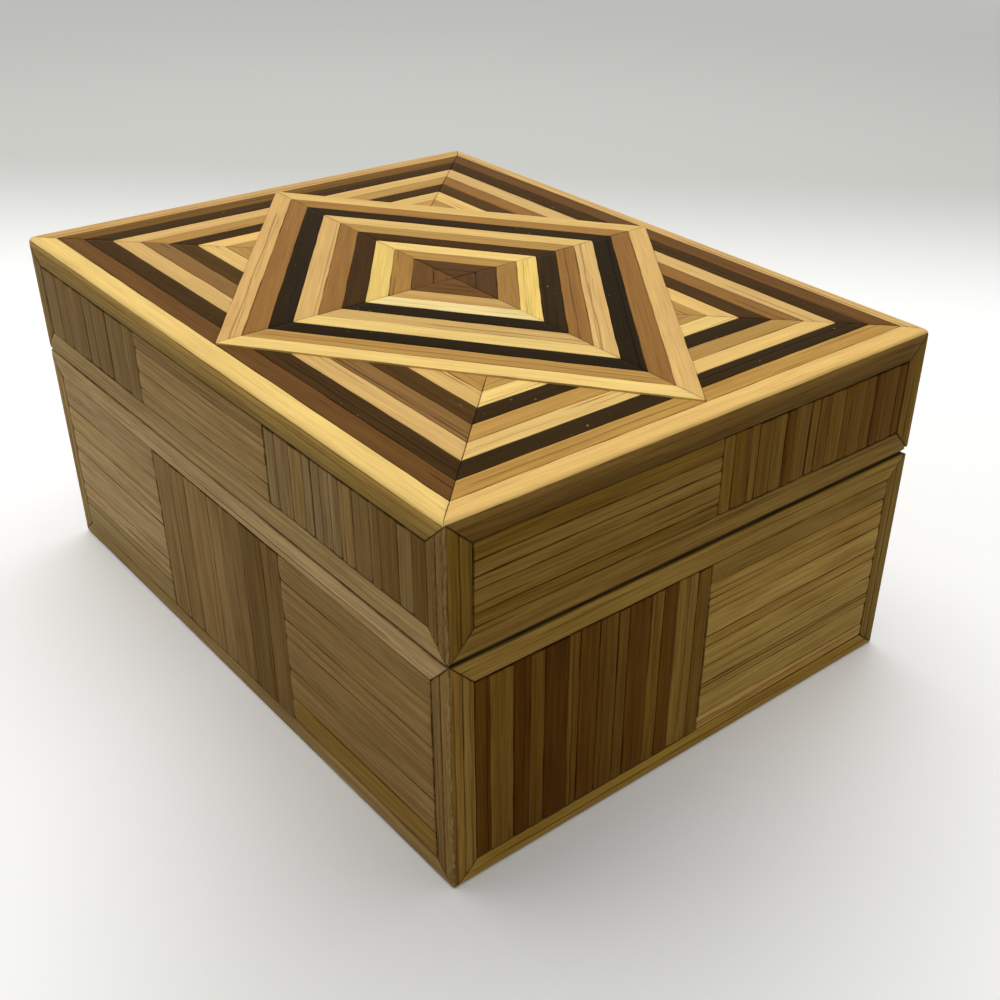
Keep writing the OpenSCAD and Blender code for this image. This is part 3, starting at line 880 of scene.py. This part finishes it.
def straw_piece(node, finish):
    """All straws of one CAD node as one piece."""
    points, faces = [], []
    marks = {}
    for number, solid in enumerate(solids_of(node)):
        straw = Straw(node, number, solid)
        own_points, own_faces, own_marks = straw_mesh(straw, straw_tone(straw), craft_of(node))
        first = sum(len(p) for p in points)
        points.append(own_points)
        faces.extend(tuple(first + i for i in face) for face in own_faces)
        for name, values in own_marks.items():
            marks.setdefault(name, []).append(values)
    mesh = bpy.data.meshes.new(node + "_straws")
    mesh.from_pydata(np.concatenate(points).tolist(), [], faces)
    for name, values in marks.items():
        joined = np.concatenate(values).astype(np.float32)
        if name == "tint":
            mesh.attributes.new(name, "FLOAT_COLOR", "POINT").data.foreach_set("color", joined.ravel())
        else:
            mesh.attributes.new(name, "FLOAT_VECTOR", "POINT").data.foreach_set("vector", joined.ravel())
    mesh.shade_smooth()
    mesh.set_sharp_from_angle(angle=math.radians(SHARP_ANGLE))
    mesh.materials.append(finish)
    piece = bpy.data.objects.new("straw_" + node, mesh)
    bpy.context.scene.collection.objects.link(piece)
    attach(piece, frame["nodes"][node]["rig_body"])
    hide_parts(node)


STRAW_FINISHES = {
    "side_straw": straw_finish(
        "aged_side_straw", contrast=0.90, glue_darkness_and_shade=0.60, reach=0.28, dull=0.50, shine=0.02),
    "light_straw": straw_finish(
        "pale_straw", contrast=0.38, glue_darkness_and_shade=0.40, reach=0.20, dull=0.42, shine=0.14),
    "tan_straw": straw_finish(
        "tan_straw", contrast=0.46, glue_darkness_and_shade=0.45, reach=0.20, dull=0.42, shine=0.06),
    "brown_straw": straw_finish(
        "brown_dyed_straw", contrast=0.60, glue_darkness_and_shade=0.50, reach=0.20, dull=0.42, shine=0.03),
    "dark_straw": straw_finish(
        "black_dyed_straw", contrast=0.60, glue_darkness_and_shade=0.50, reach=0.20, dull=0.38, shine=0.01, specked=0.32),
}
for node, slot in SLOTS.items():
    if slot in STRAW_FINISHES:
        straw_piece(node, STRAW_FINISHES[slot])


# The wooden carcase and the hinges keep their CAD solids

def refinish(node, finish):
    """Gives a CAD node its finish."""
    mesh = frame["nodes"][node].data
    mesh.materials.clear()
    mesh.materials.append(finish)


LONG_WOOD = wood_finish("sanded_wood_lengthwise", ("birch", "sand"), True)
CROSS_WOOD = wood_finish("sanded_wood_crosswise", ("birch", "sand"), False)
PANEL_WOOD = wood_finish("sanded_panel", ("maple", "birch"), True)
BRASS = brass_finish()
for node, slot in SLOTS.items():
    if slot == "carcase_wood":
        refinish(node, CROSS_WOOD if "left" in node or "right" in node else LONG_WOOD)
    elif slot == "panel_wood":
        refinish(node, PANEL_WOOD)
    elif slot == "brass":
        refinish(node, BRASS)


# Floor, light and camera

BLACK = (0, 0, 0, 1)
WHITE = (1, 1, 1, 1)
BACKDROP = srgb(192, 192, 188)
FLOOR_BOUNCE = srgb(200, 200, 198)
FLOOR_NEAR = srgb(255, 255, 253)
# the far floor's painted shade, and the tone of the painted shadow before the box
FLOOR_FAR_SHADE = srgb(193, 193, 188)
FLOOR_SHADOW_TONE = srgb(229, 229, 226)
FLOOR_GLOW = (0.09, 0.09, 0.09, 1)

# Floor: a painted shadow to the right of the middle and before it, painted shade that grows slowly towards
# the back left, and a ring beyond which the floor is one with the backdrop, all in metres
FLOOR_SIZE = 12
SHADOW_RIGHT = 0.125
SHADOW_BEFORE = 0.075
SHADOW_EDGE = 0.14
SHADOW_FULL = 0.03
SHADE_BACK = 0.66
SHADE_LEFT = 0.75
SHADE_BEGINS = 0.19
SHADE_FULL = 0.45
BEYOND_BEGINS = 0.56
BEYOND_FULL = 1.3

# Lamps: square soft ones that look at the middle of the box, in metres and watts, and the light all round
LAMP_AIM = Vector((0, 0, 0.05))
LAMPS = {
    "overhead": {"place": (-0.27, 0.19, 1.12), "size": 1.3, "power": 12.4},
    "window": {"place": (-1.0, -0.9, 0.6), "size": 0.9, "power": 2.9},
    "room": {"place": (1.1, -0.6, 0.6), "size": 0.9, "power": 2.1},
}
SKY_STRENGTH = 0.23


def floor():
    """A plain pale sheet with a painted shadow before the near corner and painted shade behind the box, one
    with the backdrop far off.
    It looks paler to the camera than the light that it sends back, and it keeps the box's shadow."""
    bpy.ops.mesh.primitive_plane_add(size=FLOOR_SIZE)
    plane = bpy.context.object
    plane.name = "floor"
    finish = Finish(bpy.data.materials.new("pale_floor"))
    x, y, _ = finish.parts(finish.node("TexCoord", output="Object"))
    paper = finish.noise(x * 900, y * 900, 0.0)
    seen = finish.seen()
    # painted shadow of the box before its near corner
    painted_shadow = finish.fade(finish.length(x - SHADOW_RIGHT, y + SHADOW_BEFORE), SHADOW_EDGE, SHADOW_FULL)
    shown = finish.blend(painted_shadow, FLOOR_NEAR, FLOOR_SHADOW_TONE)
    # painted shade on the floor behind the box
    far = finish.fade(y * SHADE_BACK - x * SHADE_LEFT, SHADE_BEGINS, SHADE_FULL)
    shown = finish.blend(far, shown, FLOOR_FAR_SHADE)
    beyond = finish.fade(finish.length(x, y), BEYOND_BEGINS, BEYOND_FULL)
    shown = finish.blend(beyond, shown, BLACK)
    glow = finish.blend(seen, BLACK, finish.blend(beyond, FLOOR_GLOW, BACKDROP))
    colour = finish.blend(seen, FLOOR_BOUNCE, shown)
    others = {"Specular IOR Level": 0.0, "Emission Strength": 1.0, "Emission Color": glow}
    plane.data.materials.append(finish.surface(colour, 0.7 + paper * 0.1, paper, PAPER_RELIEF, others))


def softbox(name, place, size, power):
    """A square soft lamp of white light that looks at the box."""
    lamp = bpy.data.lights.new(name, "AREA")
    lamp.shape = "SQUARE"
    lamp.size = size
    lamp.energy = power
    stand = bpy.data.objects.new(name, lamp)
    stand.location = place
    stand.rotation_euler = (LAMP_AIM - Vector(place)).to_track_quat("-Z", "Y").to_euler()
    bpy.context.scene.collection.objects.link(stand)


def sky(strength):
    """Even light from all round, and the pale backdrop that the camera sees."""
    studio = Finish(bpy.data.worlds.new("studio"))
    bpy.context.scene.world = studio.holder
    light = studio.node("Background", sockets={"Color": WHITE, "Strength": strength})
    backdrop = studio.node("Background", sockets={"Color": BACKDROP, "Strength": 1})
    both = studio.node("MixShader", sockets={0: studio.seen(), 1: light, 2: backdrop})
    studio.node("OutputWorld", sockets={"Surface": both})


def camera():
    """The photograph's camera: its place, its slight roll, and the part of the picture that it saw."""
    lens = bpy.data.cameras.new("camera")
    lens.sensor_width = SENSOR_MM
    lens.lens = FOCAL_PX * SENSOR_MM / PHOTO_PX
    lens.shift_x = (PHOTO_PX / 2 - MIDDLE_PX[0]) / PHOTO_PX
    lens.shift_y = (MIDDLE_PX[1] - PHOTO_PX / 2) / PHOTO_PX
    lens.clip_start = CAMERA_CLIP
    azimuth, elevation, roll = map(math.radians, (CAMERA_AZIMUTH, CAMERA_ELEVATION, CAMERA_ROLL))
    back = Vector((math.sin(azimuth) * math.cos(elevation), -math.cos(azimuth) * math.cos(elevation),
                   math.sin(elevation)))
    right = (-back).cross(Vector(UP)).normalized()
    up = right.cross(-back)
    tilted_right = right * math.cos(roll) + up * math.sin(roll)
    tilted_up = up * math.cos(roll) - right * math.sin(roll)
    stand = bpy.data.objects.new("camera", lens)
    turn = Matrix((tilted_right, tilted_up, back)).transposed().to_4x4()
    stand.matrix_world = Matrix.Translation(Vector(CAMERA_TARGET) + CAMERA_DISTANCE * back) @ turn
    bpy.context.scene.collection.objects.link(stand)
    bpy.context.scene.camera = stand


floor()
for lamp_name, lamp_values in LAMPS.items():
    softbox(lamp_name, **lamp_values)
sky(SKY_STRENGTH)
camera()
bpy.context.scene.view_settings.view_transform = "Standard"
